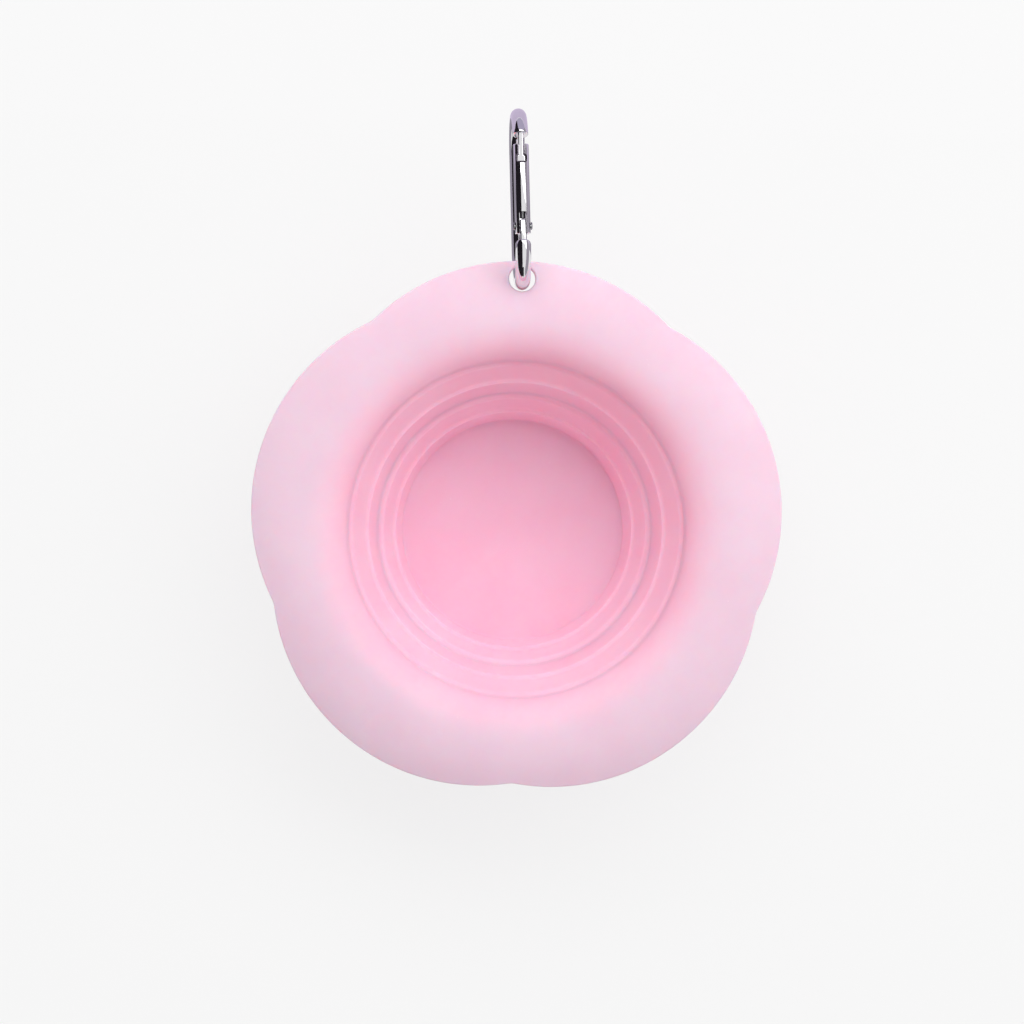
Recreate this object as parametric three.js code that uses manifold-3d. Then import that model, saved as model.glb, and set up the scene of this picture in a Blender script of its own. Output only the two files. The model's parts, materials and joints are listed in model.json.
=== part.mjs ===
// Collapsible petal bowl with a snap-hook carabiner in its brim.
// Millimetres, +Z up. The origin is the centre of the bowl's underside and +Y points to the hanging hole.
// The bowl is one soft moulding: three stiff bands and two thin folds that turn inside out to collapse it.

import * as THREE from 'three';
import { mergeVertices } from 'three/addons/utils/BufferGeometryUtils.js';
import Module from 'manifold-3d';

const wasm = await Module();
wasm.setup();

// Heights of the bowl, from the underside up
const FLOOR_THICKNESS = 3;
const BASE_WALL_HEIGHT = 11.5;
const LOWER_FOLD_RISE = 7;
const RING_HEIGHT = 10.5;
const UPPER_FOLD_RISE = 7;
const THROAT_DEPTH = 10;

// Radius of the floor, and how far each band and fold widens above it
const FLOOR_RADIUS = 32.4;
const BASE_FLARE = 1.8;
const LOWER_FOLD_RUN = 5;
const RING_FLARE = 2.7;
const UPPER_FOLD_RUN = 5.9;

// Walls of the moulding, and the slit that parts one band from the next
const WALL_THICKNESS = 2.5;
const FOLD_THICKNESS = 1.2;
const BRIM_THICKNESS = 2.8;
const FOOT_ROUNDING = 1.6;
const SEAM = 0.3;

// Brim: rolls out from the throat to a crest, then droops to the scalloped edge
const THROAT_WALL = 1.5;
const ROLL_WIDTH = 11.2;
const BRIM_REACH = 16.2;
const BRIM_DROOP = 4.4;
const PETALS = 5;
const PETAL_RADIUS = 58;

// Hanging hole in the petal at +Y
const HOLE_DIAMETER = 7.4;
const HOLE_MARGIN = 1.5;

// Carabiner: an oval of round bar, closed by a sprung gate with a T-shaped nose catch
const CARABINER_LENGTH = 51.3;
const CARABINER_WIDTH = 24;
const BAR_DIAMETER = 4.4;
const SEAT_GAP = 0.3;
const LEAN_DEGREES = 2.6;
const TWIST_DEGREES = 1.3;

// Gate, with the slot of its hinge and the pocket for the nose
const GATE_DIAMETER = 4.4;
const STUB_LENGTH = 0.8;
const RIVET_RISE = 5.2;
const GATE_TAIL = 2.2;
const CHEEK = 1.2;
const POCKET_WALL = 0.6;
const POCKET_BACK = 1;
const NECK_WIDTH = 1.4;
const NOSE_DEPTH = 1.4;
const NOSE_ANGLE_DEGREES = 22;
const NOSE_GAP = 2.9;
const NOSE_LENGTH = 7.7;
const HEAD_HEIGHT = 1.6;
const CATCH_CLEARANCE = 0.3;
const CATCH_PLAY = 0.5;

// Hinge tongue, rivet, plunger and spring of the gate
const TONGUE_WIDTH = 3.6;
const TONGUE_END = 1.8;
const TONGUE_CLEARANCE = 0.2;
const SLOT_PLAY = 1.4;
const RIVET_DIAMETER = 1.4;
const RIVET_CLEARANCE = 0.2;
const RIVET_HEAD_DIAMETER = 2.2;
const RIVET_HEAD_HEIGHT = 0.4;
const HEAD_GAP = 0.1;
const BORE_DIAMETER = 2.4;
const BORE_WALL = 3.2;
const BORE_CLEARANCE = 0.2;
const PLUNGER_NOSE_DIAMETER = 1.5;
const PLUNGER_SEAT = 1.1;
const PLUNGER_FLANGE = 0.7;
const PLUNGER_GAP = 0.3;
const SPRING_WIRE = 0.35;
const SPRING_CURLS = 8;

// How far a cut runs past the face it opens, and a joined shape into its neighbour
const CUT_OVERRUN = 1;
const JOIN_DEPTH = 0.3;

// How finely round shapes are faceted
const BOWL_SIDES = 60;
const BAR_SIDES = 12;
const BAR_STEPS = 42;
const PIN_SIDES = 20;
const CURL_STEPS = 8;
const WIRE_SIDES = 5;

// Levels and inner radii of the bowl that follow from the sizes above
const floorTop = FLOOR_THICKNESS;
const baseTop = floorTop + BASE_WALL_HEIGHT;
const ringBottom = baseTop + LOWER_FOLD_RISE;
const ringTop = ringBottom + RING_HEIGHT;
const throatBottom = ringTop + UPPER_FOLD_RISE;
const crestHeight = throatBottom + THROAT_DEPTH;
const baseTopRadius = FLOOR_RADIUS + BASE_FLARE;
const ringBottomRadius = baseTopRadius + LOWER_FOLD_RUN;
const ringTopRadius = ringBottomRadius + RING_FLARE;
const throatRadius = ringTopRadius + UPPER_FOLD_RUN;
const crestRadius = throatRadius + ROLL_WIDTH;

// The drooping side of the brim is part of a circle that is level at the crest
const droopRadius = (BRIM_REACH ** 2 + BRIM_DROOP ** 2) / (2 * BRIM_DROOP);
const droopAngle = Math.asin(BRIM_REACH / droopRadius);
const tipRadius = crestRadius + BRIM_REACH + (BRIM_THICKNESS / 2) * (1 - Math.sin(droopAngle));
const holeRadius = tipRadius - HOLE_MARGIN - HOLE_DIAMETER / 2;

// Height of the brim's upper surface outside the crest
function brimHeight(radius) {
  return crestHeight - droopRadius + Math.sqrt(droopRadius ** 2 - (radius - crestRadius) ** 2);
}

// Centre line of the carabiner bar, and the places of the gate along it, from the bar's seat in the hole
const bendRadius = (CARABINER_WIDTH - BAR_DIAMETER) / 2;
const lowerBend = bendRadius;
const upperBend = CARABINER_LENGTH - BAR_DIAMETER - bendRadius;
const noseAngle = THREE.MathUtils.degToRad(NOSE_ANGLE_DEGREES);
const noseEnd = upperBend + bendRadius * Math.sin(noseAngle);
const rivetLevel = lowerBend + RIVET_RISE;
const gateBottom = rivetLevel - GATE_TAIL;
const gateTop = noseEnd - NOSE_GAP;
const slotWidth = GATE_DIAMETER - 2 * CHEEK;
const slotTop = rivetLevel + Math.hypot(TONGUE_END, TONGUE_WIDTH / 2) + SLOT_PLAY;
const pocketFloor = bendRadius - GATE_DIAMETER / 2 + POCKET_BACK;
const noseBack = pocketFloor + CATCH_CLEARANCE;
const noseFront = noseBack + NOSE_DEPTH;
const headBottom = noseEnd - NOSE_LENGTH;
const pocketBottom = headBottom - CATCH_PLAY;
const boreEnd = pocketBottom - BORE_WALL;
const rivetHoleDiameter = RIVET_DIAMETER + 2 * RIVET_CLEARANCE;
const pocketWidth = GATE_DIAMETER - 2 * POCKET_WALL;

// Solids: a closed geometry with shared corners becomes one that can be joined and cut
function solid(geometry) {
  const bare = geometry.clone();
  bare.deleteAttribute('normal');
  bare.deleteAttribute('uv');
  const merged = mergeVertices(bare, 1e-4);
  return new wasm.Manifold(new wasm.Mesh({
    numProp: 3,
    vertProperties: new Float32Array(merged.getAttribute('position').array),
    triVerts: new Uint32Array(merged.getIndex().array),
  }));
}

function geometryOf(body) {
  const { vertProperties, triVerts } = body.getMesh();
  const geometry = new THREE.BufferGeometry();
  geometry.setAttribute('position', new THREE.BufferAttribute(vertProperties, 3));
  geometry.setIndex(new THREE.BufferAttribute(triVerts, 1));
  return geometry;
}

// A profile of [radius, height] pairs turned round the Z axis
function turned(profile) {
  const points = profile.map(([radius, height]) => new THREE.Vector2(radius, height));
  return new THREE.LatheGeometry(points, BOWL_SIDES).rotateX(Math.PI / 2);
}

function closed(profile) {
  return [...profile, profile[0]];
}

// A plain box between two corners
function block(low, high) {
  const size = high.map((value, axis) => value - low[axis]);
  const centre = high.map((value, axis) => (value + low[axis]) / 2);
  return new THREE.BoxGeometry(...size).translate(...centre);
}

// A round pin along the gate's axis, or across it at the rivet
function pinAlong(diameter, from, to) {
  const pin = new THREE.CylinderGeometry(diameter / 2, diameter / 2, to - from, PIN_SIDES);
  return pin.translate(0, (from + to) / 2, bendRadius);
}

function pinAcross(diameter, from, to) {
  const pin = new THREE.CylinderGeometry(diameter / 2, diameter / 2, to - from, PIN_SIDES);
  return pin.rotateZ(-Math.PI / 2).translate((from + to) / 2, rivetLevel, bendRadius);
}

// A regular polygon that stands for a round section
function roundSection(diameter, sides) {
  const corners = Array.from({ length: sides }, (_, index) => {
    const angle = (2 * Math.PI * index) / sides;
    return new THREE.Vector2(Math.cos(angle), Math.sin(angle)).multiplyScalar(diameter / 2);
  });
  return new THREE.Shape(corners);
}

// Base cup: floor, rounded foot and the lowest wall, which thins towards its top
function baseCup() {
  const wallFoot = FLOOR_RADIUS + WALL_THICKNESS;
  const footSteps = 4;
  const foot = Array.from({ length: footSteps + 1 }, (_, step) => {
    const angle = (Math.PI / 2) * (step / footSteps);
    return [
      wallFoot - FOOT_ROUNDING * (1 - Math.sin(angle)),
      FOOT_ROUNDING * (1 - Math.cos(angle)),
    ];
  });
  return turned([
    [0, 0],
    ...foot,
    [baseTopRadius + FOLD_THICKNESS, baseTop],
    [baseTopRadius, baseTop],
    [FLOOR_RADIUS, floorTop],
    [0, floorTop],
  ]);
}

// A thin fold between the band below and the band above it
function foldBand(lowRadius, lowHeight, highRadius, highHeight) {
  return turned(closed([
    [lowRadius, lowHeight + SEAM],
    [lowRadius + FOLD_THICKNESS, lowHeight + SEAM],
    [highRadius + FOLD_THICKNESS, highHeight - SEAM],
    [highRadius, highHeight - SEAM],
  ]));
}

// Middle ring: a wall that thins towards its top, where the upper fold starts
function middleRing() {
  return turned(closed([
    [ringBottomRadius, ringBottom],
    [ringBottomRadius + WALL_THICKNESS, ringBottom],
    [ringTopRadius + FOLD_THICKNESS, ringTop],
    [ringTopRadius, ringTop],
  ]));
}

// Half section of the brim at a petal's tip: the upper surface outwards, the edge, the underside back
function brimProfile() {
  const rollSteps = 7;
  const droopSteps = 5;
  const edgeSteps = 4;
  const rollHeight = THROAT_DEPTH - THROAT_WALL;
  const upper = [[throatRadius, throatBottom, -1, 0]];
  for (let step = 0; step < rollSteps; step += 1) {
    const angle = (Math.PI / 2) * (step / rollSteps);
    const slope = new THREE.Vector2(-Math.cos(angle) / ROLL_WIDTH, Math.sin(angle) / rollHeight);
    slope.normalize();
    upper.push([
      crestRadius - ROLL_WIDTH * Math.cos(angle),
      crestHeight - rollHeight * (1 - Math.sin(angle)),
      slope.x,
      slope.y,
    ]);
  }
  for (let step = 0; step <= droopSteps; step += 1) {
    const angle = droopAngle * (step / droopSteps);
    upper.push([
      crestRadius + droopRadius * Math.sin(angle),
      crestHeight - droopRadius * (1 - Math.cos(angle)),
      Math.sin(angle),
      Math.cos(angle),
    ]);
  }
  const under = upper.map(([radius, height, across, up]) => (
    [radius - BRIM_THICKNESS * across, height - BRIM_THICKNESS * up]
  ));
  const [tipX, tipZ] = upper[upper.length - 1];
  const centreX = tipX - (BRIM_THICKNESS / 2) * Math.sin(droopAngle);
  const centreZ = tipZ - (BRIM_THICKNESS / 2) * Math.cos(droopAngle);
  const edge = [];
  for (let step = 1; step < edgeSteps; step += 1) {
    const angle = Math.PI / 2 - droopAngle - Math.PI * (step / edgeSteps);
    edge.push([
      centreX + (BRIM_THICKNESS / 2) * Math.cos(angle),
      centreZ + (BRIM_THICKNESS / 2) * Math.sin(angle),
    ]);
  }
  const top = upper.map(([radius, height]) => [radius, height]);
  return closed([...top, ...edge, ...under.reverse()].reverse());
}

// Distance from the bowl's axis to the scalloped edge, along a direction measured from a petal's tip
function edgeRadius(angle) {
  const petalAngle = (2 * Math.PI) / PETALS;
  const offset = tipRadius - PETAL_RADIUS;
  const turn = angle - petalAngle * Math.round(angle / petalAngle);
  return offset * Math.cos(turn) + Math.sqrt(PETAL_RADIUS ** 2 - (offset * Math.sin(turn)) ** 2);
}

// Draws the round brim in to the petals' outline, keeping it on the same dome
function petalled(geometry) {
  const position = geometry.getAttribute('position');
  for (let index = 0; index < position.count; index += 1) {
    const x = position.getX(index);
    const y = position.getY(index);
    const radius = Math.hypot(x, y);
    if (radius > crestRadius) {
      const share = (edgeRadius(Math.atan2(-x, y)) - crestRadius) / (tipRadius - crestRadius);
      const drawnIn = crestRadius + (radius - crestRadius) * share;
      position.setXYZ(
        index,
        x * (drawnIn / radius),
        y * (drawnIn / radius),
        position.getZ(index) + brimHeight(drawnIn) - brimHeight(radius),
      );
    }
  }
  return geometry;
}

function petalBrim() {
  const hole = new THREE.CylinderGeometry(HOLE_DIAMETER / 2, HOLE_DIAMETER / 2, crestHeight, PIN_SIDES)
    .rotateX(Math.PI / 2)
    .translate(0, holeRadius, crestHeight);
  return geometryOf(solid(petalled(turned(brimProfile()))).subtract(solid(hole)));
}

// Centre line of the bar, from the nose round the upper bend, down the spine and round to the hinge.
// X is across the oval, Y along it from the seat in the hole, and Z outwards to the gate.
class BarLine extends THREE.Curve {
  getPoint(share) {
    const upperArc = (Math.PI - noseAngle) * bendRadius;
    const spine = upperBend - lowerBend;
    const lowerArc = Math.PI * bendRadius;
    const run = share * (upperArc + spine + lowerArc + STUB_LENGTH);
    if (run < upperArc) {
      const angle = noseAngle + run / bendRadius;
      return new THREE.Vector3(0, upperBend + bendRadius * Math.sin(angle), bendRadius * Math.cos(angle));
    }
    if (run < upperArc + spine) {
      return new THREE.Vector3(0, upperBend - (run - upperArc), -bendRadius);
    }
    if (run < upperArc + spine + lowerArc) {
      const angle = Math.PI + (run - upperArc - spine) / bendRadius;
      return new THREE.Vector3(0, lowerBend + bendRadius * Math.sin(angle), bendRadius * Math.cos(angle));
    }
    return new THREE.Vector3(0, lowerBend + run - upperArc - spine - lowerArc, bendRadius);
  }
}

// Frame: the bar with the hinge tongue at one end, and the neck and T-head of the nose at the other
function carabinerFrame() {
  const bar = new THREE.ExtrudeGeometry(roundSection(BAR_DIAMETER, BAR_SIDES), {
    steps: BAR_STEPS,
    bevelEnabled: false,
    extrudePath: new BarLine(),
  });
  const tongueHalf = slotWidth / 2 - TONGUE_CLEARANCE;
  const tongue = block(
    [-tongueHalf, lowerBend, bendRadius - TONGUE_WIDTH / 2],
    [tongueHalf, rivetLevel + TONGUE_END, bendRadius + TONGUE_WIDTH / 2],
  );
  const noseRun = noseFront - bendRadius * Math.cos(noseAngle);
  const neckRoot = noseEnd + noseRun * Math.tan(noseAngle) + JOIN_DEPTH;
  const neck = block([-NECK_WIDTH / 2, headBottom, noseBack], [NECK_WIDTH / 2, neckRoot, noseFront]);
  const headHalf = pocketWidth / 2 - CATCH_CLEARANCE;
  const head = block([-headHalf, headBottom, noseBack], [headHalf, headBottom + HEAD_HEIGHT, noseFront]);
  const rivetHole = pinAcross(rivetHoleDiameter, -slotWidth, slotWidth);
  const joined = [tongue, neck, head].reduce((body, shape) => body.add(solid(shape)), solid(bar));
  return geometryOf(joined.subtract(solid(rivetHole)));
}

// Gate: a round bar with the hinge slot and spring bore at its foot and the catch pocket at its top
function carabinerGate() {
  const rod = pinAlong(GATE_DIAMETER, gateBottom, gateTop);
  const front = bendRadius + GATE_DIAMETER / 2 + CUT_OVERRUN;
  const back = bendRadius - GATE_DIAMETER / 2 - CUT_OVERRUN;
  const side = GATE_DIAMETER / 2 + CUT_OVERRUN;
  const slot = block([-slotWidth / 2, gateBottom - CUT_OVERRUN, back], [slotWidth / 2, slotTop, front]);
  const pocket = block(
    [-pocketWidth / 2, pocketBottom, pocketFloor],
    [pocketWidth / 2, headBottom + HEAD_HEIGHT + CATCH_PLAY, front],
  );
  const neckHalf = NECK_WIDTH / 2 + CATCH_CLEARANCE;
  const neckSlot = block([-neckHalf, pocketBottom, pocketFloor], [neckHalf, gateTop + CUT_OVERRUN, front]);
  const bore = pinAlong(BORE_DIAMETER, slotTop - CUT_OVERRUN, boreEnd);
  const rivetHole = pinAcross(rivetHoleDiameter, -side, side);
  return geometryOf([slot, pocket, neckSlot, bore, rivetHole].reduce(
    (body, cut) => body.subtract(solid(cut)),
    solid(rod),
  ));
}

// Rivet: the gate's hinge pin, with a flat head outside each cheek
function gateRivet() {
  const headFace = GATE_DIAMETER / 2 + HEAD_GAP;
  const headTop = headFace + RIVET_HEAD_HEIGHT;
  const shank = pinAcross(RIVET_DIAMETER, -headTop, headTop);
  const left = pinAcross(RIVET_HEAD_DIAMETER, -headTop, -headFace);
  const right = pinAcross(RIVET_HEAD_DIAMETER, headFace, headTop);
  return geometryOf(solid(shank).add(solid(left)).add(solid(right)));
}

// Plunger: its nose rides on the tongue's end, and its flange carries the spring inside the gate's bore
const plungerFoot = rivetLevel + TONGUE_END + PLUNGER_GAP;
const flangeBottom = slotTop + PLUNGER_SEAT;
const flangeTop = flangeBottom + PLUNGER_FLANGE;
const flangeDiameter = BORE_DIAMETER - 2 * BORE_CLEARANCE;

function springPlunger() {
  const nose = pinAlong(PLUNGER_NOSE_DIAMETER, plungerFoot, flangeTop);
  const flange = pinAlong(flangeDiameter, flangeBottom, flangeTop);
  return geometryOf(solid(nose).add(solid(flange)));
}

// Spring: one coil of wire between the plunger's flange and the blind end of the bore
class SpringLine extends THREE.Curve {
  getPoint(share) {
    const coilRadius = (flangeDiameter - SPRING_WIRE) / 2;
    const low = flangeTop + PLUNGER_GAP + SPRING_WIRE / 2;
    const high = boreEnd - PLUNGER_GAP - SPRING_WIRE / 2;
    const angle = 2 * Math.PI * SPRING_CURLS * share;
    return new THREE.Vector3(
      coilRadius * Math.cos(angle),
      low + (high - low) * share,
      bendRadius + coilRadius * Math.sin(angle),
    );
  }
}

function gateSpring() {
  return new THREE.ExtrudeGeometry(roundSection(SPRING_WIRE, WIRE_SIDES), {
    steps: SPRING_CURLS * CURL_STEPS,
    bevelEnabled: false,
    extrudePath: new SpringLine(),
  });
}

// Finishes seen in the photograph
function silicone() {
  return new THREE.MeshStandardMaterial({ color: 0xf2b6cd, roughness: 0.55, metalness: 0 });
}

function polishedPlate() {
  return new THREE.MeshStandardMaterial({ color: 0xd9dadd, roughness: 0.08, metalness: 1 });
}

function plainSteel() {
  return new THREE.MeshStandardMaterial({ color: 0xa6a8ab, roughness: 0.3, metalness: 1 });
}

function piece(name, geometry, material) {
  const mesh = new THREE.Mesh(geometry, material);
  mesh.name = name;
  return mesh;
}

const carabiner = new THREE.Group();
carabiner.add(
  piece('carabiner_frame', carabinerFrame(), polishedPlate()),
  piece('carabiner_gate', carabinerGate(), polishedPlate()),
  piece('gate_rivet', gateRivet(), plainSteel()),
  piece('spring_plunger', springPlunger(), plainSteel()),
  piece('gate_spring', gateSpring(), plainSteel()),
);

// The bar stands in the hole against the wall nearest the bowl, halfway through the brim
const seatRadius = holeRadius - HOLE_DIAMETER / 2 + SEAT_GAP + BAR_DIAMETER / 2;
carabiner.position.set(0, seatRadius, brimHeight(seatRadius) - BRIM_THICKNESS / 2);
carabiner.rotation.set(
  0,
  THREE.MathUtils.degToRad(TWIST_DEGREES),
  THREE.MathUtils.degToRad(LEAN_DEGREES),
  'ZYX',
);

const bowl = new THREE.Group();
bowl.add(
  piece('base_cup', baseCup(), silicone()),
  piece('lower_fold', foldBand(baseTopRadius, baseTop, ringBottomRadius, ringBottom), silicone()),
  piece('middle_ring', middleRing(), silicone()),
  piece('upper_fold', foldBand(ringTopRadius, ringTop, throatRadius, throatBottom), silicone()),
  piece('petal_brim', petalBrim(), silicone()),
  carabiner,
);

export default bowl;
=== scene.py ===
# %% [markdown]
# # A folding petal bowl on a snap hook
# The real object is a soft travel bowl: one silicone moulding with three stiff bands and two thin folds,
# hung from a plated carabiner through a hole in its brim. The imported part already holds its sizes, bodies
# and joints. So every piece here is built in that same frame, around those solids, and needs no fitting.

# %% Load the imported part
import json
from math import atan2, copysign, cos, exp, hypot, log, pi, radians, sin, sqrt, tan

import bmesh
import bpy
from mathutils import Matrix, Vector
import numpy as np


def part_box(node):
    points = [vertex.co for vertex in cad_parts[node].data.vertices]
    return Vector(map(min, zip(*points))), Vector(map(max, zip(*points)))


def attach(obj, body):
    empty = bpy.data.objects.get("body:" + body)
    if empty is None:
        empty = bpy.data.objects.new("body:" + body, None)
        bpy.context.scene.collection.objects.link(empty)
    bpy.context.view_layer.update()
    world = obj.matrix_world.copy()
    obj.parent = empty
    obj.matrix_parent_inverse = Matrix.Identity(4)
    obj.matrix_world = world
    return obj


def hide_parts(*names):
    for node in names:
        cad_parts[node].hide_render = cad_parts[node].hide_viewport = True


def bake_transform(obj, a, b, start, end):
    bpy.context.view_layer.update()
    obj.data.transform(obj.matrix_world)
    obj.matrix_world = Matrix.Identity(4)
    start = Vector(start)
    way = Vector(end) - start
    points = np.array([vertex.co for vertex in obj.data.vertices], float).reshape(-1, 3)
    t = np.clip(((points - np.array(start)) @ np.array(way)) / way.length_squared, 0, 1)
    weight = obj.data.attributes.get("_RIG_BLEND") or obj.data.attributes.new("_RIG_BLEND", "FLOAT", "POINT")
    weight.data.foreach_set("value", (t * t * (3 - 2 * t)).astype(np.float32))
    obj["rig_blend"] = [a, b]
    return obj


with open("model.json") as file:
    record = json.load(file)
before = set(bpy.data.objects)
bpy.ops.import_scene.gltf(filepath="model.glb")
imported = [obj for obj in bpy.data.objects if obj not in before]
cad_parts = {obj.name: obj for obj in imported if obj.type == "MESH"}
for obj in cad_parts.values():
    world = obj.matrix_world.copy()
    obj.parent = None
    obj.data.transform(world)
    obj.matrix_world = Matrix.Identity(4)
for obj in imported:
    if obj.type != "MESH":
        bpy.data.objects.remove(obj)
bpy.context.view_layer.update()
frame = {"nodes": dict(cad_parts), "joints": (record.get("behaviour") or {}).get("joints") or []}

print("solids:", ", ".join(sorted(frame["nodes"])))

# %% [markdown]
# Shapes are easier to read in millimetres, while Blender's frame is in metres. The helpers below model in
# millimetres and scale once, when a shape becomes a piece. The sizes that the solids already have are read
# from their boxes, so that the skins stay on the solids if a size is changed.

# %% Sizes taken from the solids, in millimetres
MM = 0.001
FOLD_THICKNESS = 1.2


def top_of(node):
    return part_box(node)[1].z / MM


def bottom_of(node):
    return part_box(node)[0].z / MM


def inner_radius(node):
    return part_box(node)[1].x / MM - FOLD_THICKNESS


base_top, ring_bottom = top_of("base_cup"), bottom_of("middle_ring")
ring_top, throat_bottom = top_of("middle_ring"), bottom_of("petal_brim")
crest_height = top_of("petal_brim")
base_radius, ring_foot_radius = inner_radius("base_cup"), inner_radius("lower_fold")
ring_radius, throat_radius = inner_radius("middle_ring"), inner_radius("upper_fold")
tip_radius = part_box("petal_brim")[1].y / MM
print("levels:", [round(z, 2) for z in (base_top, ring_bottom, ring_top, throat_bottom, crest_height)])
print("inner radii:", [round(r, 2) for r in (base_radius, ring_foot_radius, ring_radius, throat_radius)])

# %% [markdown]
# A shader's maths reads best as Python. This class wraps one socket and overloads the operators, so that an
# expression adds its own Math nodes. Every other node comes from its `node` method, which sets the node's
# options first and then the values or links of its sockets.

# %% A socket that does maths
class Socket:
    def __init__(self, tree, socket=None):
        self.tree, self.socket = tree, socket

    def node(self, kind, settings=None, inputs=None, output=0):
        made = self.tree.nodes.new(kind)
        for name, value in (settings or {}).items():
            setattr(made, name, value)
        for name, value in (inputs or {}).items():
            if isinstance(value, Socket):
                self.tree.links.new(value.socket, made.inputs[name])
            else:
                made.inputs[name].default_value = value
        return Socket(self.tree, made.outputs[output])

    def maths(self, operation, first, second):
        return self.node("ShaderNodeMath", {"operation": operation}, {0: first, 1: second})

    def __add__(self, other):
        return self.maths("ADD", self, other)

    def __sub__(self, other):
        return self.maths("SUBTRACT", self, other)

    def __rsub__(self, other):
        return self.maths("SUBTRACT", other, self)

    def __mul__(self, other):
        return self.maths("MULTIPLY", self, other)

    def least(self, other):
        return self.maths("MINIMUM", self, other)

    def band(self, low, high):
        ends = {"From Min": low, "From Max": high}
        return self.node("ShaderNodeMapRange", {"interpolation_type": "SMOOTHSTEP"}, {"Value": self, **ends})

    __radd__ = __add__


print("sockets ready")

# %% [markdown]
# A few helpers keep the materials short. Blender's Mix node has its colour sockets behind those for numbers
# and vectors, so they are called by their place in the row.

# %% Helpers for materials
MIX_SHARE, MIX_FIRST, MIX_SECOND, MIX_RESULT = 0, 6, 7, 2
BUMP_DISTANCE = 0.00004


def blend_colours(share, first, second):
    sides = {MIX_SHARE: share, MIX_FIRST: first, MIX_SECOND: second}
    return share.node("ShaderNodeMix", {"data_type": "RGBA"}, sides, output=MIX_RESULT)


def new_material(name):
    material = bpy.data.materials.new(name)
    material.use_nodes = True
    shader = material.node_tree.nodes["Principled BSDF"]
    return material, shader, Socket(material.node_tree)


def feed(node, **links):
    for name, value in links.items():
        value.tree.links.new(value.socket, node.inputs[name.replace("_", " ")])


def noise(start, place, scale, detail=2.0):
    return start.node("ShaderNodeTexNoise", None, {"Vector": place, "Scale": scale, "Detail": detail})


def bump(start, height, strength):
    sizes = {"Strength": strength, "Distance": BUMP_DISTANCE, "Height": height}
    return start.node("ShaderNodeBump", None, sizes)


def glow(start, colour):
    return start.node("ShaderNodeEmission", None, {"Color": (*colour, 1), "Strength": 1.0})


print("material helpers ready")

# %% [markdown]
# The moulding is a milky pink silicone with a satin skin. The colour pales with the distance from the axis,
# which is painted light and shade on one silicone: the cup, in shade, gets a deeper pink and the lit brim a
# paler one. Pigment in silicone is never quite even, so a soft cloud of two close pinks runs through it. Its
# mould was blasted, which leaves a very fine grain: that is a small bump and a slightly uneven gloss. Light
# also goes a little way into the rubber, which is a constant on the shader. Dust clings to silicone, so a few
# pale specks are laid over the colour.

# %% Silicone
# The cup's pinks are painted deeper as shade and the brim's paler as light; both are the same silicone.
CUP_PINK, CUP_PALE = (0.889, 0.508, 0.645, 1), (0.899, 0.543, 0.675, 1)
BRIM_PINK, BRIM_PALE = (0.747, 0.565, 0.680, 1), (0.761, 0.595, 0.705, 1)
PAINTED_LIGHT_FROM, PAINTED_LIGHT_TO = 0.046, 0.060
DUST, DUST_SHARE = (0.95, 0.80, 0.86, 1), 0.35
CLOUD_SCALE, RIPPLE_SCALE, GRAIN_SCALE, SPECK_SCALE, PATCH_SCALE = 55, 420, 3200, 1500, 160
CLOUD_DETAIL, SPECK_DETAIL = 3.0, 1.0
CLOUD_BAND, SPECK_BAND, PATCH_BAND = (0.3, 0.7), (0.74, 0.80), (0.5, 0.7)
GRAIN_HEIGHT, RIPPLE_HEIGHT, SKIN_STRENGTH = 0.8, 0.5, 0.35
SATIN, CLOUD_DULLING, GRAIN_DULLING = 0.47, 0.10, 0.06

silicone, silicone_shader, start = new_material("pink_silicone")
place = start.node("ShaderNodeTexCoord", output="Object")
cloud = noise(start, place, CLOUD_SCALE, CLOUD_DETAIL)
grain = noise(start, place, GRAIN_SCALE)
ripple = noise(start, place, RIPPLE_SCALE)
patches = noise(start, place, PATCH_SCALE).band(*PATCH_BAND)
specks = noise(start, place, SPECK_SCALE, SPECK_DETAIL).band(*SPECK_BAND) * patches
flat = start.node("ShaderNodeVectorMath", {"operation": "MULTIPLY"}, {0: place, 1: (1, 1, 0)})
from_axis = start.node("ShaderNodeVectorMath", {"operation": "LENGTH"}, {0: flat}, output="Value")
uneven = cloud.band(*CLOUD_BAND)
cup_colour_painted_shaded = blend_colours(uneven, CUP_PINK, CUP_PALE)
brim_colour_painted_lit = blend_colours(uneven, BRIM_PINK, BRIM_PALE)
# Painted light and shade: away from the axis the colour turns from the shaded cup's pink to the lit brim's
# paler pink.
pigment_and_painted_light = blend_colours(from_axis.band(PAINTED_LIGHT_FROM, PAINTED_LIGHT_TO), cup_colour_painted_shaded, brim_colour_painted_lit)
skin = bump(start, grain * GRAIN_HEIGHT + ripple * RIPPLE_HEIGHT, SKIN_STRENGTH)
feed(silicone_shader, Base_Color=blend_colours(specks * DUST_SHARE, pigment_and_painted_light, DUST), Normal=skin,
     Roughness=SATIN + cloud * CLOUD_DULLING + grain * GRAIN_DULLING)
silicone_shader.inputs["IOR"].default_value = 1.41
silicone_shader.inputs["Specular IOR Level"].default_value = 0.2
silicone_shader.inputs["Subsurface Weight"].default_value = 0.7
silicone_shader.inputs["Subsurface Radius"].default_value = (1.0, 0.13, 0.18)
silicone_shader.inputs["Subsurface Scale"].default_value = 0.005
print("silicone:", len(silicone.node_tree.nodes), "nodes")
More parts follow.
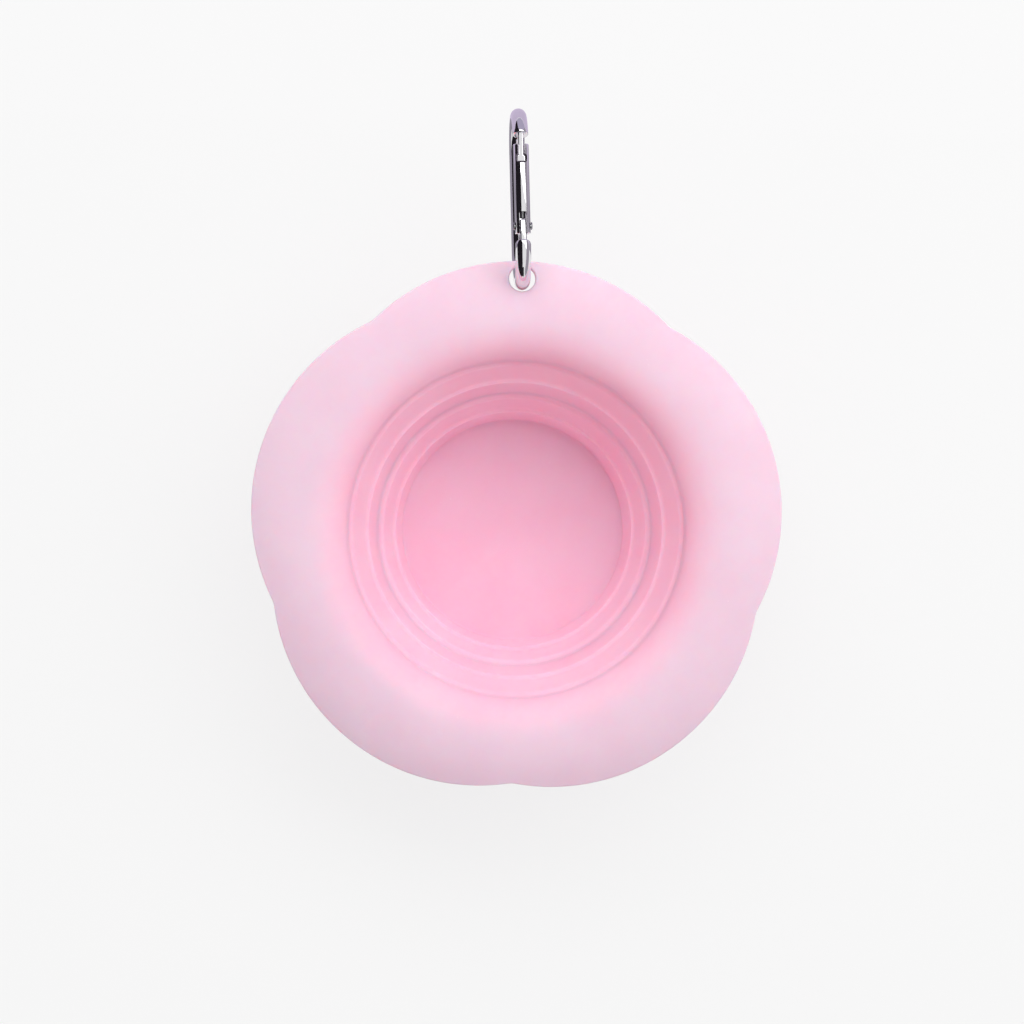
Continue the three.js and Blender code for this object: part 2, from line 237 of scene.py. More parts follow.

# %% [markdown]
# The hook is a die casting with a mirror-bright plating. What gives such plating away is not its colour but
# what disturbs its mirror: a slight unevenness from the polished casting below it, and hair-fine scratches
# along the bar from use. The recesses of the gate get a plating with a duller gloss and a dark colour, and
# the dark colour is painted shade. The small turned parts inside the gate are plain steel with a duller,
# brushed gloss.

# %% Plating and plain steel
PLATING, PLATING_WORN = (0.80, 0.79, 0.81, 1), (0.70, 0.685, 0.70, 1)
# Dark colours for the recesses of the gate: painted shade.
RECESS_SHADE, RECESS_SHADE_DARK = (0.20, 0.17, 0.21, 1), (0.10, 0.085, 0.11, 1)
STEEL, STEEL_DARK = (0.30, 0.30, 0.31, 1), (0.16, 0.16, 0.17, 1)
SCRATCH_SCALE, SCRATCH_STRETCH, SCRATCH_BAND, SCRATCH_DEPTH = 9000, (1, 0.06, 1), (0.58, 0.72), 0.02
WEAR_SCALE, WEAR_DETAIL, WEAR_BAND = 260, 3.0, (0.45, 0.75)
SWELL_SCALE, SWELL_DETAIL, DENT_STRENGTH = 330, 1.0, 0.4
WEAR_TINT, SCRATCH_TINT, WEAR_DULLING, SCRATCH_DULLING = 0.5, 0.3, 0.4, 0.6


def bright_metal(name, colours, smooth, dull, waviness):
    material, shader, start = new_material(name)
    place = start.node("ShaderNodeTexCoord", output="Object")
    stretched = start.node("ShaderNodeMapping", None, {"Vector": place, "Scale": SCRATCH_STRETCH})
    scratches = noise(start, stretched, SCRATCH_SCALE).band(*SCRATCH_BAND)
    wear = noise(start, place, WEAR_SCALE, WEAR_DETAIL).band(*WEAR_BAND)
    swell = noise(start, place, SWELL_SCALE, SWELL_DETAIL)
    dented = bump(start, swell * waviness - scratches * SCRATCH_DEPTH, DENT_STRENGTH)
    tint = wear * WEAR_TINT + scratches * SCRATCH_TINT
    dulling = wear * WEAR_DULLING + scratches * SCRATCH_DULLING
    feed(shader, Base_Color=blend_colours(tint, *colours), Normal=dented,
         Roughness=smooth + dulling * (dull - smooth))
    shader.inputs["Metallic"].default_value = 1.0
    print(name, len(material.node_tree.nodes), "nodes")
    return material


plating = bright_metal("bright_plating", (PLATING, PLATING_WORN), smooth=0.05, dull=0.14, waviness=1.0)
# The recesses' plating: a duller gloss, and a dark colour that is painted shade.
shaded_recess_plating = bright_metal("shaded_recess_plating", (RECESS_SHADE, RECESS_SHADE_DARK), smooth=0.28, dull=0.45, waviness=1.0)
steel = bright_metal("plain_steel", (STEEL, STEEL_DARK), smooth=0.24, dull=0.42, waviness=0.5)

# %% [markdown]
# Everything round on this bowl is a section turned about its axis, like a pot on a wheel. A section starts
# as a few corners joined by edges, and a vertex bevel rounds each corner by its own amount. One full spin
# with `use_merge` then makes the skin, and merging doubles closes the pole on the axis before the normals
# are recalculated.

# %% Sections, spinning and extruding
CORNER_SEGMENTS, MERGE_DISTANCE = 5, 1e-4


def rounded(bm, geometry, offset, affect, segments):
    bmesh.ops.bevel(bm, geom=geometry, offset=offset, offset_type="OFFSET", affect=affect,
                    segments=segments, profile=0.5, material=-1, clamp_overlap=True)


def section(corners, closed=True):
    bm = bmesh.new()
    verts = [bm.verts.new((radius, 0, level)) for radius, level, *_ in corners]
    followers = verts[1:] + verts[:1] if closed else verts[1:]
    for first, second in zip(verts, followers):
        bm.edges.new((first, second))
    for vert, (_, _, *rounding) in zip(verts, corners):
        if rounding:
            rounded(bm, [vert], rounding[0], "VERTICES", CORNER_SEGMENTS)
    return bm


def spun(bm, steps):
    bmesh.ops.spin(bm, geom=bm.verts[:] + bm.edges[:], cent=(0, 0, 0), axis=(0, 0, 1), dvec=(0, 0, 0),
                   angle=2 * pi, steps=steps, use_merge=True)
    bmesh.ops.remove_doubles(bm, verts=bm.verts, dist=MERGE_DISTANCE)
    bmesh.ops.recalc_face_normals(bm, faces=bm.faces)
    return bm


def verts_of(edges):
    return list({vert for edge in edges for vert in edge.verts})


def edges_in(geometry):
    return [item for item in geometry if isinstance(item, bmesh.types.BMEdge)]


def extruded(bm, edges):
    return edges_in(bmesh.ops.extrude_edge_only(bm, edges=edges)["geom"])


print("modelling helpers ready")

# %% [markdown]
# A finished shape is scaled to metres, shaded smooth and marked sharp where its faces meet at a steep angle.
# Its slot holds the material it is made of. A watertight skin has exactly two faces at every
# edge, so the count of other edges shows whether a shape is closed.

# %% From shapes to pieces
CREASE = radians(35)


def as_object(name, bm, *materials):
    mesh = bpy.data.meshes.new(name)
    bm.to_mesh(mesh)
    bm.free()
    for material in materials:
        mesh.materials.append(material)
    made = bpy.data.objects.new(name, mesh)
    bpy.context.scene.collection.objects.link(made)
    return made


def as_piece(name, bm, material):
    bmesh.ops.scale(bm, vec=(MM, MM, MM), verts=bm.verts)
    open_edges = sum(len(edge.link_faces) != 2 for edge in bm.edges)
    for face in bm.faces:
        face.smooth = True
    piece = as_object(name, bm, material)
    piece.data.set_sharp_from_angle(angle=CREASE)
    print(f"{name}: {len(piece.data.polygons)} faces, {open_edges} open edges")
    return piece


print("edges are sharp above", round(CREASE, 2), "radians")

# %% [markdown]
# The brim rises from the throat in a quarter of an ellipse, is level at its crest and droops in a circular
# arc to the edge. The outer half keeps its upper and lower points above each other, which makes the hanging
# hole easy to cut later. A round edge joins the two.

# %% Brim section
CREST_RADIUS, BRIM_REACH, BRIM_DROOP, BRIM_THICKNESS = 59.0, 16.2, 4.4, 2.8
THROAT_WALL, LIP_ROUNDING = 1.5, 0.1
ROLL_STEPS, DROOP_STEPS, EDGE_STEPS, BRIM_TURNS = 18, 20, 8, 480

roll_width = CREST_RADIUS - throat_radius
roll_height = crest_height - throat_bottom - THROAT_WALL
droop_radius = (BRIM_REACH**2 + BRIM_DROOP**2) / (2 * BRIM_DROOP)


def dome(radius):
    return crest_height - droop_radius + sqrt(droop_radius**2 - (radius - CREST_RADIUS) ** 2)


def brim_thickness(radius):
    return BRIM_THICKNESS * droop_radius / sqrt(droop_radius**2 - (radius - CREST_RADIUS) ** 2)


roll = [0.5 * pi * step / ROLL_STEPS for step in range(ROLL_STEPS)]
roll_top = [(CREST_RADIUS - roll_width * cos(a), crest_height - roll_height * (1 - sin(a))) for a in roll]
roll_out = [Vector((-cos(a) / roll_width, sin(a) / roll_height)).normalized() for a in roll]
roll_under = [tuple(Vector(top) - BRIM_THICKNESS * out) for top, out in zip(roll_top, roll_out)]
droop = [CREST_RADIUS + BRIM_REACH * step / DROOP_STEPS for step in range(DROOP_STEPS + 1)]
droop_top = [(radius, dome(radius)) for radius in droop]
droop_under = [(radius, dome(radius) - brim_thickness(radius)) for radius in droop]
edge_radius, edge_half = droop[-1], brim_thickness(droop[-1]) / 2
edge_turns = [0.5 * pi - pi * step / EDGE_STEPS for step in range(1, EDGE_STEPS)]
round_edge = [(edge_radius + (tip_radius - edge_radius) * cos(a), droop_top[-1][1] + edge_half * (sin(a) - 1))
              for a in edge_turns]
upper, under = roll_top + droop_top, droop_under[::-1] + roll_under[::-1]
brim = section([(throat_radius, throat_bottom, LIP_ROUNDING), *upper, *round_edge, *under,
                (throat_radius + BRIM_THICKNESS, throat_bottom, LIP_ROUNDING)])
print("brim section:", len(brim.verts), "points")
brim = spun(brim, BRIM_TURNS)

# %% [markdown]
# The edge of the brim has five petals, each an arc of a larger circle. Cutting the outline out of the dome
# would lose the round edge, so the turned brim is drawn in towards the petals' outline instead: each point
# outside the crest moves inwards in proportion and stays on the same dome. The two nearest arcs run into each
# other softly, because a mould has no knife-sharp notches.

# %% Petals
PETALS, PETAL_RADIUS, NOTCH_SOFTNESS = 5, 58.0, 0.15


def petal_arc(turn):
    offset = tip_radius - PETAL_RADIUS
    return offset * cos(turn) + sqrt(PETAL_RADIUS**2 - (offset * sin(turn)) ** 2)


def petal_outline(angle):
    petal = 2 * pi / PETALS
    turn = abs(angle - petal * round(angle / petal))
    near, far = petal_arc(turn), petal_arc(petal - turn)
    return near + NOTCH_SOFTNESS * log(1 + exp((far - near) / NOTCH_SOFTNESS))


for vert in brim.verts:
    radius = hypot(vert.co.x, vert.co.y)
    if radius > CREST_RADIUS:
        share = (petal_outline(atan2(-vert.co.x, vert.co.y)) - CREST_RADIUS) / (tip_radius - CREST_RADIUS)
        drawn_in = CREST_RADIUS + (radius - CREST_RADIUS) * share
        level = vert.co.z + dome(drawn_in) - dome(radius)
        vert.co = (vert.co.x * drawn_in / radius, vert.co.y * drawn_in / radius, level)
print("petal tip and notch:", round(petal_outline(0), 2), round(petal_outline(pi / PETALS), 2))

# %% [markdown]
# The carabiner hangs in a hole near the edge of one petal. A boolean would leave ragged shading on the dome.
# Here the faces over the hole are deleted on both sides, the two open rims are snapped to a circle on the
# dome, extruded in small steps round the hole's soft lip, and bridged to each other through the wall.

# %% Hanging hole
HOLE_DIAMETER, HOLE_MARGIN, HOLE_LIP, HOLE_LIP_STEPS, COVER_MARGIN = 7.4, 1.5, 0.7, 6, 0.1
hole_radius = HOLE_DIAMETER / 2
lip_radius = hole_radius + HOLE_LIP
hole = Vector((0, tip_radius - HOLE_MARGIN - hole_radius))


def from_hole(point):
    return Vector((point.x, point.y)) - hole


def on_upper_side(vert):
    return vert.co.z > dome(hypot(vert.co.x, vert.co.y)) - BRIM_THICKNESS / 2


def set_on_rim(vert, radius, depth, is_upper):
    spot = hole + from_hole(vert.co).normalized() * radius
    top = dome(spot.length)
    level = top - depth if is_upper else top - brim_thickness(spot.length) + depth
    vert.co = (spot.x, spot.y, level)


covering = [face for face in brim.faces
            if from_hole(face.calc_center_median()).length < lip_radius - COVER_MARGIN]
bmesh.ops.delete(brim, geom=covering, context="FACES")
rims = []
for is_upper in (True, False):
    rim = [edge for edge in brim.edges
           if edge.is_boundary and all(on_upper_side(vert) == is_upper for vert in edge.verts)]
    for vert in verts_of(rim):
        set_on_rim(vert, lip_radius, 0, is_upper)
    for step in range(1, HOLE_LIP_STEPS + 1):
        turn = 0.5 * pi * step / HOLE_LIP_STEPS
        rim = extruded(brim, rim)
        for vert in verts_of(rim):
            set_on_rim(vert, hole_radius + HOLE_LIP * (1 - sin(turn)), HOLE_LIP * (1 - cos(turn)), is_upper)
    rims += rim
bmesh.ops.bridge_loops(brim, edges=rims)
bmesh.ops.recalc_face_normals(brim, faces=brim.faces)
print("faces taken out for the hole:", len(covering), "- rim edges bridged:", len(rims))

soft_brim = as_piece("soft_brim", brim, silicone)
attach(soft_brim, "brim")
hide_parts("petal_brim")

# %% [markdown]
# Below the brim the wall goes down in steps. Each stiff band ends in a small rounded nosing. From it a thin
# fold rises to a nearly flat ledge, and a soft fillet turns the ledge up into a lap on the band above. The
# end of the lap is tucked into that band, which hides the seam. When the bowl is pressed flat, the folds turn
# inside out. Both have the same section, so one function gives its inner side and one its outer side. The
# long edges of a fold are cut into short ones, so that it can bend.

# %% Section of a fold
NOSE_RISE, NOSE_WIDTH, NOSE_ROUNDING, NOSE_FILLET = 0.34, 1.0, 0.35, 0.6
LEDGE_WIDTH, LEDGE_DROP, LEDGE_ROUNDING, LEDGE_FILLET = 1.35, 0.35, 0.4, 0.8
LAP_RISE, LAP_STAND, LAP_ROUNDING, TUCK, TUCK_RISE = 1.3, 0.06, 0.05, 0.4, 0.2
ROOT_WIDTH, SHELF_WIDTH, SHELF_DROP, CAP_WIDTH, CAP_DROP, OUTER_ROUNDING = 1.9, 1.7, 0.35, 2.0, 0.5, 0.3
FOLD_WEB, WEB_DROP, WEB_RISE, WEB_ROUNDING = 1.25, 1.3, 0.1, 0.6
LONG_EDGE, FOLD_SLACK, FOLD_CUTS = 3, 0.1, 14


def fold_inside(radius, level, upper_radius, upper_level, band_lean):
    lap_radius, lap_top = upper_radius - LAP_STAND, upper_level + LAP_RISE
    return [
        (radius, level + NOSE_RISE, NOSE_ROUNDING),
        (radius + NOSE_WIDTH, level + NOSE_RISE, NOSE_FILLET),
        (upper_radius - LEDGE_WIDTH, upper_level - LEDGE_DROP, LEDGE_ROUNDING),
        (lap_radius, upper_level, LEDGE_FILLET),
        (lap_radius + band_lean * LAP_RISE, lap_top, LAP_ROUNDING),
        (upper_radius + band_lean * LAP_RISE + TUCK, lap_top + TUCK_RISE),
    ]


def fold_outside(radius, level, upper_radius, upper_level):
    return [
        (upper_radius + ROOT_WIDTH, upper_level + TUCK),
        (upper_radius + SHELF_WIDTH, upper_level - SHELF_DROP, OUTER_ROUNDING),
        (upper_radius - LEDGE_WIDTH + FOLD_WEB, upper_level - WEB_DROP, WEB_ROUNDING),
        (radius + NOSE_WIDTH + FOLD_WEB, level + WEB_RISE, WEB_ROUNDING),
        (radius + CAP_WIDTH, level - CAP_DROP, OUTER_ROUNDING),
    ]


def cut_fold(bm, low, high):
    long_edges = [edge for edge in bm.edges if edge.calc_length() > LONG_EDGE
                  and all(low - FOLD_SLACK < vert.co.z < high for vert in edge.verts)]
    bmesh.ops.subdivide_edges(bm, edges=long_edges, cuts=FOLD_CUTS)
    print("long edges cut for bending:", len(long_edges))


print("each fold bends in", FOLD_CUTS + 1, "strips")

# %% [markdown]
# The middle ring and the fold above it are one skin, from the lap on the brim's throat to the ring's lower
# edge. It blends from the brim's body to the ring's body over the height of the fold, so that the fold bends
# while the ring stays stiff.

# %% Middle ring with the upper fold
BAND_THICKNESS, BAND_ROUNDING, BAND_TURNS = 2.5, 0.1, 288
upper_fold = (ring_radius, ring_top, throat_radius, throat_bottom)
ring = section([
    (ring_foot_radius, ring_bottom, BAND_ROUNDING),
    *fold_inside(*upper_fold, band_lean=0.0),
    *fold_outside(*upper_fold),
    (ring_foot_radius + BAND_THICKNESS, ring_bottom, BAND_ROUNDING),
])
cut_fold(ring, ring_top, throat_bottom)
soft_ring = as_piece("soft_ring", spun(ring, BAND_TURNS), silicone)
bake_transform(soft_ring, "brim", "middle", start=(0, 0, throat_bottom * MM), end=(0, 0, ring_top * MM))
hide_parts("upper_fold", "middle_ring")

# %% [markdown]
# The base cup is the floor, the lowest wall and the lower fold in one skin. The section starts and ends on
# the axis, so the spin closes it at two poles. The floor meets the wall in a small round, and the foot that
# the bowl stands on is rounded more. The ring above it leans outwards, and the fold's lap leans with it.

# %% Base cup with the lower fold
FLOOR_RADIUS, FLOOR_TOP, FLOOR_ROUNDING, FOOT_ROUNDING = 32.6, 3.0, 0.5, 1.6
lower_fold = (base_radius, base_top, ring_foot_radius, ring_bottom)
ring_lean = (ring_radius - ring_foot_radius) / (ring_top + NOSE_RISE - ring_bottom)
cup = section([
    (0, FLOOR_TOP),
    (FLOOR_RADIUS, FLOOR_TOP, FLOOR_ROUNDING),
    *fold_inside(*lower_fold, band_lean=ring_lean),
    *fold_outside(*lower_fold),
    (FLOOR_RADIUS + BAND_THICKNESS, 0, FOOT_ROUNDING),
    (0, 0),
], closed=False)
cut_fold(cup, base_top, ring_bottom)
soft_cup = as_piece("soft_cup", spun(cup, BAND_TURNS), silicone)
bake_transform(soft_cup, "middle", "base", start=(0, 0, ring_bottom * MM), end=(0, 0, base_top * MM))
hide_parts("lower_fold", "base_cup")

# %% [markdown]
# The carabiner leans and is twisted a little in its hole, so it is modelled upright and then put in its
# place. Its own frame comes from the joints: X across the hook is the axis it swings on, Y along it is the
# plunger's slide, and Z points to the gate. The zero point is the bar's seat in the hole.

# %% Frame of the carabiner
joints = {joint["name"]: joint for joint in frame["joints"]}
across = Vector(joints["carabiner_swing"]["axis"]).normalized()
along = Vector(joints["plunger_slide"]["axis"]).normalized()
outward = across.cross(along).normalized()
swing = Vector(joints["carabiner_swing"]["pos_m"]) / MM
to_rivet = Vector(joints["gate_swing"]["pos_m"]) / MM - swing
bend, rivet_rise = to_rivet.dot(outward), to_rivet.dot(along)
seat = swing - along * bend
hook_place = Matrix.Translation(seat) @ Matrix((across, along, outward)).transposed().to_4x4()
rivet_level = bend + rivet_rise


def as_hook_piece(name, bm, material, body, node):
    bmesh.ops.recalc_face_normals(bm, faces=bm.faces)
    bmesh.ops.transform(bm, matrix=hook_place, verts=bm.verts)
    piece = as_piece(name, bm, material)
    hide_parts(node)
    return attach(piece, body) if body else piece


print("bend radius and rivet level:", round(bend, 2), round(rivet_level, 2))

# %% [markdown]
# The bar is a round section swept along an oval: a circle is extruded and spun from the hinge round the lower
# bend, up the spine and over the upper bend to the nose. A layer on the vertices remembers each point's turn
# round the bar. With it, a later loop can become any rounded shape: power 2 is an ellipse, and higher powers
# come close to a rectangle.

# %% Bar of the carabiner
HOOK_LENGTH, BAR_RADIUS, BAR_SIDES, BEND_STEPS = 51.3, 2.2, 40, 30
NOSE_ANGLE = radians(22)
upper_bend = HOOK_LENGTH - 2 * BAR_RADIUS - bend
nose_end = upper_bend + bend * sin(NOSE_ANGLE)

bar = bmesh.new()
turn_layer = bar.verts.layers.float.new("turn")
bmesh.ops.create_circle(bar, segments=BAR_SIDES, radius=BAR_RADIUS)
for vert in bar.verts:
    vert[turn_layer] = atan2(vert.co.y, vert.co.x)
first_loop = bar.edges[:]


def shape_loop(edges, level, depth, half_width, half_depth, power=2.0, tilt=0.0):
    for vert in verts_of(edges):
        turn = vert[turn_layer]
        x = half_width * copysign(abs(cos(turn)) ** (2 / power), cos(turn))
        w = half_depth * copysign(abs(sin(turn)) ** (2 / power), sin(turn))
        vert.co = (x, level + w * sin(tilt), depth + w * cos(tilt))


def next_loop(edges, *shape, **more):
    made = extruded(bar, edges)
    shape_loop(made, *shape, **more)
    return made


def bent_loop(edges, level, angle):
    made = bmesh.ops.spin(bar, geom=verts_of(edges) + edges, cent=(0, level, 0), axis=(1, 0, 0),
                          dvec=(0, 0, 0), angle=angle, steps=BEND_STEPS)
    return edges_in(made["geom_last"])


shape_loop(first_loop, bend, bend, BAR_RADIUS, BAR_RADIUS)
lower_end = bent_loop(first_loop, bend, pi)
spine_end = extruded(bar, lower_end)
bmesh.ops.translate(bar, vec=(0, upper_bend - bend, 0), verts=verts_of(spine_end))
nose_loop = bent_loop(spine_end, upper_bend, pi - NOSE_ANGLE)
nose_at = sum((vert.co for vert in verts_of(nose_loop)), Vector()) / BAR_SIDES
print("bar ends at the nose, along and outward:", round(nose_at.y, 2), round(nose_at.z, 2))

# %% [markdown]
# At its lower end the bar is rounded over and goes on as a flat tongue, which the gate straddles. At the nose
# it is cut square and goes on as a narrow neck with a T-shaped head, which the gate's pocket catches. Both
# ends grow out of the bar's own last loop, so the frame stays one closed casting.

# %% Hinge tongue and T-shaped nose
TONGUE_HALF, TONGUE_DEPTH, TONGUE_END, TONGUE_POWER = 0.8, 1.8, 1.8, 7.0
TONGUE_TIP = ((0.3, 0, 0), (0.08, 0.06, 0.12), (0, 0.2, 0.35))
SHOULDER_RISE, SHOULDER_STEPS = 1.4, 8
NOSE_FACE = ((0.12, 0.06), (0.22, 0.2), (0.26, 0.5))
NECK_HALF, NECK_DEPTH, NECK_ROOT, NECK_ROOT_POWER, NECK_DROP, NECK_TAPER = 0.7, 0.7, 0.9, 3.0, 0.25, 0.6
HEAD_HALF, HEAD_HEIGHT, HEAD_EDGE, HEAD_BREAK, HEAD_THINNING, NOSE_POWER = 1.3, 1.6, 0.15, 0.1, 0.12, 6.0
NOSE_LENGTH, GATE_RADIUS, POCKET_BACK, CATCH_CLEARANCE = 7.7, 2.2, 1.0, 0.3
tongue_top = rivet_level + TONGUE_END
head_bottom = nose_end - NOSE_LENGTH
head_top = head_bottom + HEAD_HEIGHT
pocket_floor = bend - GATE_RADIUS + POCKET_BACK
neck_centre = pocket_floor + CATCH_CLEARANCE + NECK_DEPTH
neck_root = nose_at.y + (neck_centre - nose_at.z) * tan(NOSE_ANGLE) - NECK_DROP

loop = first_loop
for step in range(1, SHOULDER_STEPS + 1):
    turn = 0.5 * pi * step / SHOULDER_STEPS
    loop = next_loop(loop, bend + SHOULDER_RISE * sin(turn), bend,
                     TONGUE_HALF + (BAR_RADIUS - TONGUE_HALF) * cos(turn),
                     TONGUE_DEPTH + (BAR_RADIUS - TONGUE_DEPTH) * cos(turn),
                     2 + (TONGUE_POWER - 2) * (1 - cos(turn)) ** 2)
for below, narrower, thinner in TONGUE_TIP:
    loop = next_loop(loop, tongue_top - below, bend,
                     TONGUE_HALF - narrower, TONGUE_DEPTH - thinner, TONGUE_POWER)
bmesh.ops.contextual_create(bar, geom=loop)

loop = nose_loop
for past, narrower in NOSE_FACE:
    loop = next_loop(loop, nose_at.y - past * cos(NOSE_ANGLE), nose_at.z + past * sin(NOSE_ANGLE),
                     BAR_RADIUS - narrower, BAR_RADIUS - narrower, tilt=NOSE_ANGLE)
loop = next_loop(loop, neck_root, neck_centre, NECK_ROOT, NECK_ROOT, NECK_ROOT_POWER, tilt=NOSE_ANGLE)
for level, half_width, half_depth in (
        (neck_root - NECK_TAPER, NECK_HALF, NECK_DEPTH),
        (head_top + HEAD_EDGE, NECK_HALF, NECK_DEPTH),
        (head_top, HEAD_HALF - HEAD_BREAK, NECK_DEPTH),
        (head_top - HEAD_EDGE, HEAD_HALF, NECK_DEPTH),
        (head_bottom + HEAD_EDGE, HEAD_HALF, NECK_DEPTH),
        (head_bottom, HEAD_HALF - HEAD_EDGE, NECK_DEPTH - HEAD_THINNING)):
    loop = next_loop(loop, level, neck_centre, half_width, half_depth, NOSE_POWER)
bmesh.ops.contextual_create(bar, geom=loop)

bar.verts.layers.float.remove(turn_layer)
as_hook_piece("hook_bar", bar, plating, "carabiner", "carabiner_frame")

# %% [markdown]
# The gate is a round rod with cuts in it. On the real rod these are milled and drilled, and a boolean does
# the same here. A turned shape stands upright at first, so it is laid along the gate or across it at the
# rivet. Each cutter runs past what it cuts, because a boolean of shapes with faces in common is fragile.

# %% Tools for milling
MILL_SEGMENTS, PIN_SIDES, OVERRUN = 6, 40, 1


def rod(radius, low, high, rounding, sides=PIN_SIDES):
    bm = section([(0, low), (radius, low, rounding), (radius, high, rounding), (0, high)], closed=False)
    return spun(bm, sides)


def laid_along(bm):
    bmesh.ops.rotate(bm, matrix=Matrix.Rotation(-pi / 2, 3, "X"), verts=bm.verts)
    bmesh.ops.translate(bm, vec=(0, 0, bend), verts=bm.verts)
    return bm


def laid_across(bm):
    bmesh.ops.rotate(bm, matrix=Matrix.Rotation(pi / 2, 3, "Y"), verts=bm.verts)
    bmesh.ops.translate(bm, vec=(0, rivet_level, bend), verts=bm.verts)
    return bm


def milled(half_width, low, high, back, rounding):
    bm = bmesh.new()
    bmesh.ops.create_cube(bm, size=1)
    front = bend + GATE_RADIUS + OVERRUN
    bmesh.ops.scale(bm, vec=(2 * half_width, high - low, front - back), verts=bm.verts)
    bmesh.ops.translate(bm, vec=(0, (low + high) / 2, (front + back) / 2), verts=bm.verts)
    corners = [edge for edge in bm.edges if edge.verts[0].co.z != edge.verts[1].co.z]
    rounded(bm, corners, rounding, "EDGES", MILL_SEGMENTS)
    return bm


def carved(bm, cutters):
    things = []
    for shape in (bm, *cutters):
        bmesh.ops.recalc_face_normals(shape, faces=shape.faces)
        things.append(as_object("carving", shape))
    for cutter in things[1:]:
        cut = things[0].modifiers.new("cut", "BOOLEAN")
        cut.operation, cut.solver, cut.object = "DIFFERENCE", "EXACT", cutter
    result = bmesh.new()
    result.from_object(things[0], bpy.context.evaluated_depsgraph_get())
    for thing in things:
        bpy.data.meshes.remove(thing.data)
    return result


print("milling tools ready")

# %% [markdown]
# The gate has a slot for the hinge tongue, a pocket with a narrower mouth for the T-shaped nose, a bore for
# the spring and a hole for the rivet. A fine bevel afterwards breaks every cut edge, because plating builds
# up there and always shines. The faces inside the cuts get the duller plating of the recesses, whose dark
# colour is painted shade.

# %% Gate
GATE_TAIL, NOSE_GAP, GATE_SIDES, GATE_ROUNDING, END_OVERRUN = 2.2, 2.9, 64, 0.3, 2
SLOT_HALF, SLOT_PLAY, SLOT_ROUNDING = 1.0, 1.4, 0.2
POCKET_HALF, POCKET_ROUNDING, CATCH_PLAY, MOUTH_OVERLAP = 1.6, 0.9, 0.5, 1.5
BORE_RADIUS, BORE_WALL, BORE_ROUNDING = 1.2, 3.2, 0.3
RIVET_HOLE, DRILL_REACH, DRILL_ROUNDING = 0.9, 4, 0.2
CUT_EDGE, CUT_SEGMENTS, CUT_ANGLE = 0.09, 2, radians(32)
gate_bottom, gate_top = rivet_level - GATE_TAIL, nose_end - NOSE_GAP
slot_top = rivet_level + hypot(TONGUE_END, TONGUE_DEPTH) + SLOT_PLAY
pocket_bottom, pocket_top = head_bottom - CATCH_PLAY, head_top + CATCH_PLAY
bore_end = pocket_bottom - BORE_WALL

gate = carved(laid_along(rod(GATE_RADIUS, gate_bottom, gate_top, GATE_ROUNDING, GATE_SIDES)), [
    milled(SLOT_HALF, gate_bottom - END_OVERRUN, slot_top, 0, SLOT_ROUNDING),
    milled(POCKET_HALF, pocket_bottom, pocket_top, pocket_floor, POCKET_ROUNDING),
    milled(SLOT_HALF, pocket_top - MOUTH_OVERLAP, gate_top + END_OVERRUN, pocket_floor, SLOT_ROUNDING),
    laid_along(rod(BORE_RADIUS, slot_top - OVERRUN, bore_end, BORE_ROUNDING)),
    laid_across(rod(RIVET_HOLE, -DRILL_REACH, DRILL_REACH, DRILL_ROUNDING)),
])
bmesh.ops.remove_doubles(gate, verts=gate.verts, dist=MERGE_DISTANCE)
cut_edges = [edge for edge in gate.edges if edge.is_manifold and edge.calc_face_angle() > CUT_ANGLE]
rounded(gate, cut_edges, CUT_EDGE, "EDGES", CUT_SEGMENTS)
print("cut edges bevelled:", len(cut_edges))
# Faces inside the cuts take the second slot, the dark plating that paints shade into the recesses.
for face in gate.faces:
    middle = face.calc_center_median()
    is_end = not gate_bottom + GATE_ROUNDING < middle.y < gate_top - GATE_ROUNDING
    is_recess = hypot(middle.x, middle.z - bend) < GATE_RADIUS - 2 * CUT_EDGE
    face.material_index = int(is_recess and not is_end)
print("faces in the recesses:", sum(face.material_index for face in gate.faces))
hook_gate = as_hook_piece("hook_gate", gate, plating, "gate", "carabiner_gate")
hook_gate.data.materials.append(shaded_recess_plating)

# %% [markdown]
# The rivet is a turned pin with a low dome on each end, pressed flat against the gate's cheeks. Half of its
# section is written down and the other half mirrored. The plunger is turned too: a thin nose that rests on
# the hinge tongue and a flange that carries the spring.

# %% Rivet and plunger
RIVET_RADIUS, RIVET_HEAD, RIVET_FACE, RIVET_HEAD_HEIGHT, RIVET_DOME = 0.7, 1.1, 2.3, 0.4, 0.35
PLUNGER_NOSE, PLUNGER_GAP, PLUNGER_SEAT, PLUNGER_TIP = 0.75, 0.3, 1.1, 0.25
FLANGE_RADIUS, FLANGE_HEIGHT, FLANGE_EDGE = 1.0, 0.7, 0.12
rivet_end = RIVET_FACE + RIVET_HEAD_HEIGHT
plunger_foot = tongue_top + PLUNGER_GAP
flange_bottom = slot_top + PLUNGER_SEAT
flange_top = flange_bottom + FLANGE_HEIGHT

rivet_half = [
    (RIVET_RADIUS, RIVET_FACE),
    (RIVET_HEAD, RIVET_FACE),
    (RIVET_HEAD, rivet_end, RIVET_DOME),
    (0, rivet_end),
]
other_half = [(radius, -level, *rounding) for radius, level, *rounding in reversed(rivet_half)]
rivet = laid_across(spun(section(other_half + rivet_half, closed=False), PIN_SIDES))
as_hook_piece("hook_rivet", rivet, steel, "carabiner", "gate_rivet")

